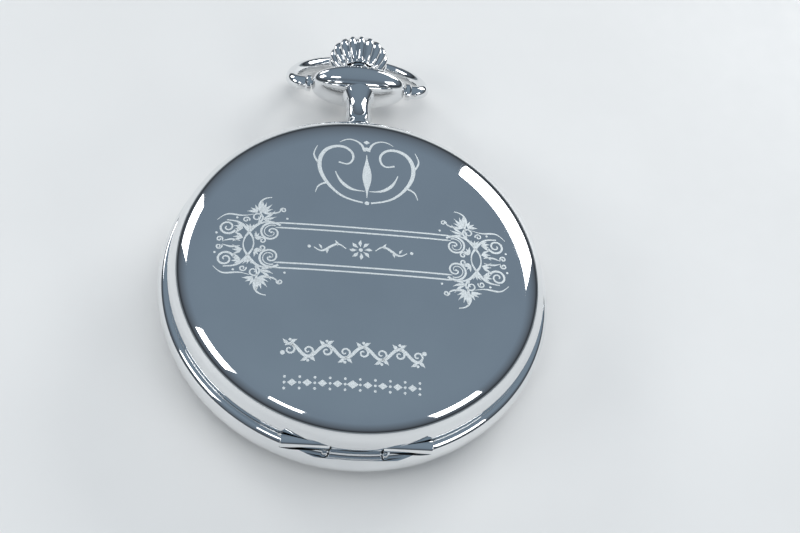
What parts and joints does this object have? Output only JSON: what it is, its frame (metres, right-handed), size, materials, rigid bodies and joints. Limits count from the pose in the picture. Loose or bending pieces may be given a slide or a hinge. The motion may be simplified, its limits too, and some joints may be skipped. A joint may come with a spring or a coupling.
{
  "type": "pocket watch",
  "caption": "Full-hunter pocket watch with a hinged domed lid, fluted pull crown, swinging bow, glazed dial with hands and a geared battery movement inside.",
  "frame": {"origin": "centre of the flat land of the back cover, on its outside", "axes": "+Z out of the front lid, +Y towards the crown at 12 o'clock, +X towards 3 o'clock seen from the front"},
  "size_m": [0.047, 0.0663, 0.0137],
  "materials": {
    "chrome": "mirror-polished chrome plate over brass",
    "polished_steel": "polished steel",
    "spring_steel": "blued-grey spring steel",
    "brass": "fine-turned brass",
    "dial_white": "matte off-white dial paint",
    "hand_black": "gloss black lacquer",
    "crystal_clear": "clear domed mineral crystal",
    "holder_plastic": "moulded off-white plastic",
    "board_green": "green circuit board",
    "copper_wire": "wound enamelled copper wire",
    "magnet_black": "black magnet and epoxy",
    "battery_can": "satin nickel-plated can"
  },
  "bodies": {
    "case": {"case_band": "chrome", "back_cover": "chrome", "hinge_pin": "polished_steel", "lid_spring": "spring_steel", "bezel_ring": "polished_steel", "crystal": "crystal_clear", "dial": "dial_white", "pendant": "chrome", "main_plate": "brass", "train_bridge": "polished_steel", "movement_holder": "holder_plastic", "bridge_screw_1": "polished_steel", "bridge_screw_2": "polished_steel", "bridge_screw_3": "polished_steel", "clamp_screw": "polished_steel", "circuit_board": "board_green", "quartz_can": "battery_can", "control_chip": "magnet_black", "battery": "battery_can", "battery_clamp": "spring_steel", "setting_lever": "spring_steel", "stator": "spring_steel", "coil_core": "spring_steel", "coil": "copper_wire"},
    "lid": {"front_lid": "chrome"},
    "latch": {"lid_latch": "spring_steel"},
    "sleeve": {"setting_sleeve": "brass"},
    "crown": {"crown": "chrome", "stem": "polished_steel"},
    "bow": {"bow": "chrome"},
    "seconds": {"second_hand": "hand_black", "second_arbor": "polished_steel", "second_wheel": "brass"},
    "third": {"third_wheel": "brass", "third_pinion": "polished_steel"},
    "minutes": {"minute_hand": "hand_black", "cannon_pinion": "polished_steel", "centre_wheel": "brass"},
    "minute_work": {"minute_wheel": "brass", "minute_pinion": "polished_steel"},
    "hours": {"hour_hand": "hand_black", "hour_wheel": "brass"},
    "setting": {"setting_wheel": "brass"},
    "idler": {"idler_wheel": "brass", "idler_pinion": "polished_steel"},
    "rotor": {"rotor_pinion": "polished_steel", "rotor_magnet": "magnet_black"}
  },
  "joints": [
    {"name": "lid_hinge", "type": "hinge", "parent": "case", "child": "lid", "pos_m": [0, -0.0214, 0.00775], "axis": [1, 0, 0], "range_deg": [0, 90]},
    {"name": "crown_turn", "type": "hinge", "parent": "case", "child": "sleeve", "pos_m": [0, 0.03, 0.006], "axis": [0, 1, 0], "continuous": true},
    {"name": "crown_slide", "type": "slide", "parent": "sleeve", "child": "crown", "axis": [0, 1, 0], "range_m": [-0.0005, 0.0008], "stiffness_N_per_m": 300},
    {"name": "latch_slide", "type": "slide", "parent": "case", "child": "latch", "axis": [0, 1, 0], "range_m": [-0.00026, 0.00041]},
    {"name": "bow_swing", "type": "hinge", "parent": "case", "child": "bow", "pos_m": [0, 0.0326, 0.006], "axis": [1, 0, 0], "range_deg": [-107, 163]},
    {"name": "seconds_turn", "type": "hinge", "parent": "case", "child": "seconds", "pos_m": [0, 0, 0.006], "axis": [0, 0, -1], "continuous": true},
    {"name": "third_turn", "type": "hinge", "parent": "case", "child": "third", "pos_m": [-0.00319, -0.00116, 0.0042], "axis": [0, 0, -1], "continuous": true},
    {"name": "minutes_turn", "type": "hinge", "parent": "case", "child": "minutes", "pos_m": [0, 0, 0.006], "axis": [0, 0, -1], "continuous": true},
    {"name": "minute_work_turn", "type": "hinge", "parent": "case", "child": "minute_work", "pos_m": [0.00248, 0.00248, 0.006], "axis": [0, 0, -1], "continuous": true},
    {"name": "hours_turn", "type": "hinge", "parent": "case", "child": "hours", "pos_m": [0, 0, 0.0064], "axis": [0, 0, -1], "continuous": true},
    {"name": "setting_wheel_turn", "type": "hinge", "parent": "case", "child": "setting", "pos_m": [0.0021, 0.00654, 0.0059], "axis": [0, 0, -1], "continuous": true},
    {"name": "idler_turn", "type": "hinge", "parent": "case", "child": "idler", "pos_m": [0.00062, -0.00169, 0.0034], "axis": [0, 0, -1], "continuous": true},
    {"name": "rotor_turn", "type": "hinge", "parent": "case", "child": "rotor", "pos_m": [0.00119, -0.00327, 0.0039], "axis": [0, 0, -1], "continuous": true}
  ],
  "couplings": [
    {"joint": "latch_slide", "follows": "crown_slide", "ratio": 0.5},
    {"joint": "third_turn", "follows": "seconds_turn", "ratio": -0.125},
    {"joint": "minutes_turn", "follows": "seconds_turn", "ratio": 0.016667},
    {"joint": "minute_work_turn", "follows": "seconds_turn", "ratio": -0.0055556},
    {"joint": "hours_turn", "follows": "seconds_turn", "ratio": 0.0013889},
    {"joint": "setting_wheel_turn", "follows": "seconds_turn", "ratio": 0.01},
    {"joint": "idler_turn", "follows": "seconds_turn", "ratio": -5},
    {"joint": "rotor_turn", "follows": "seconds_turn", "ratio": 30}
  ]
}
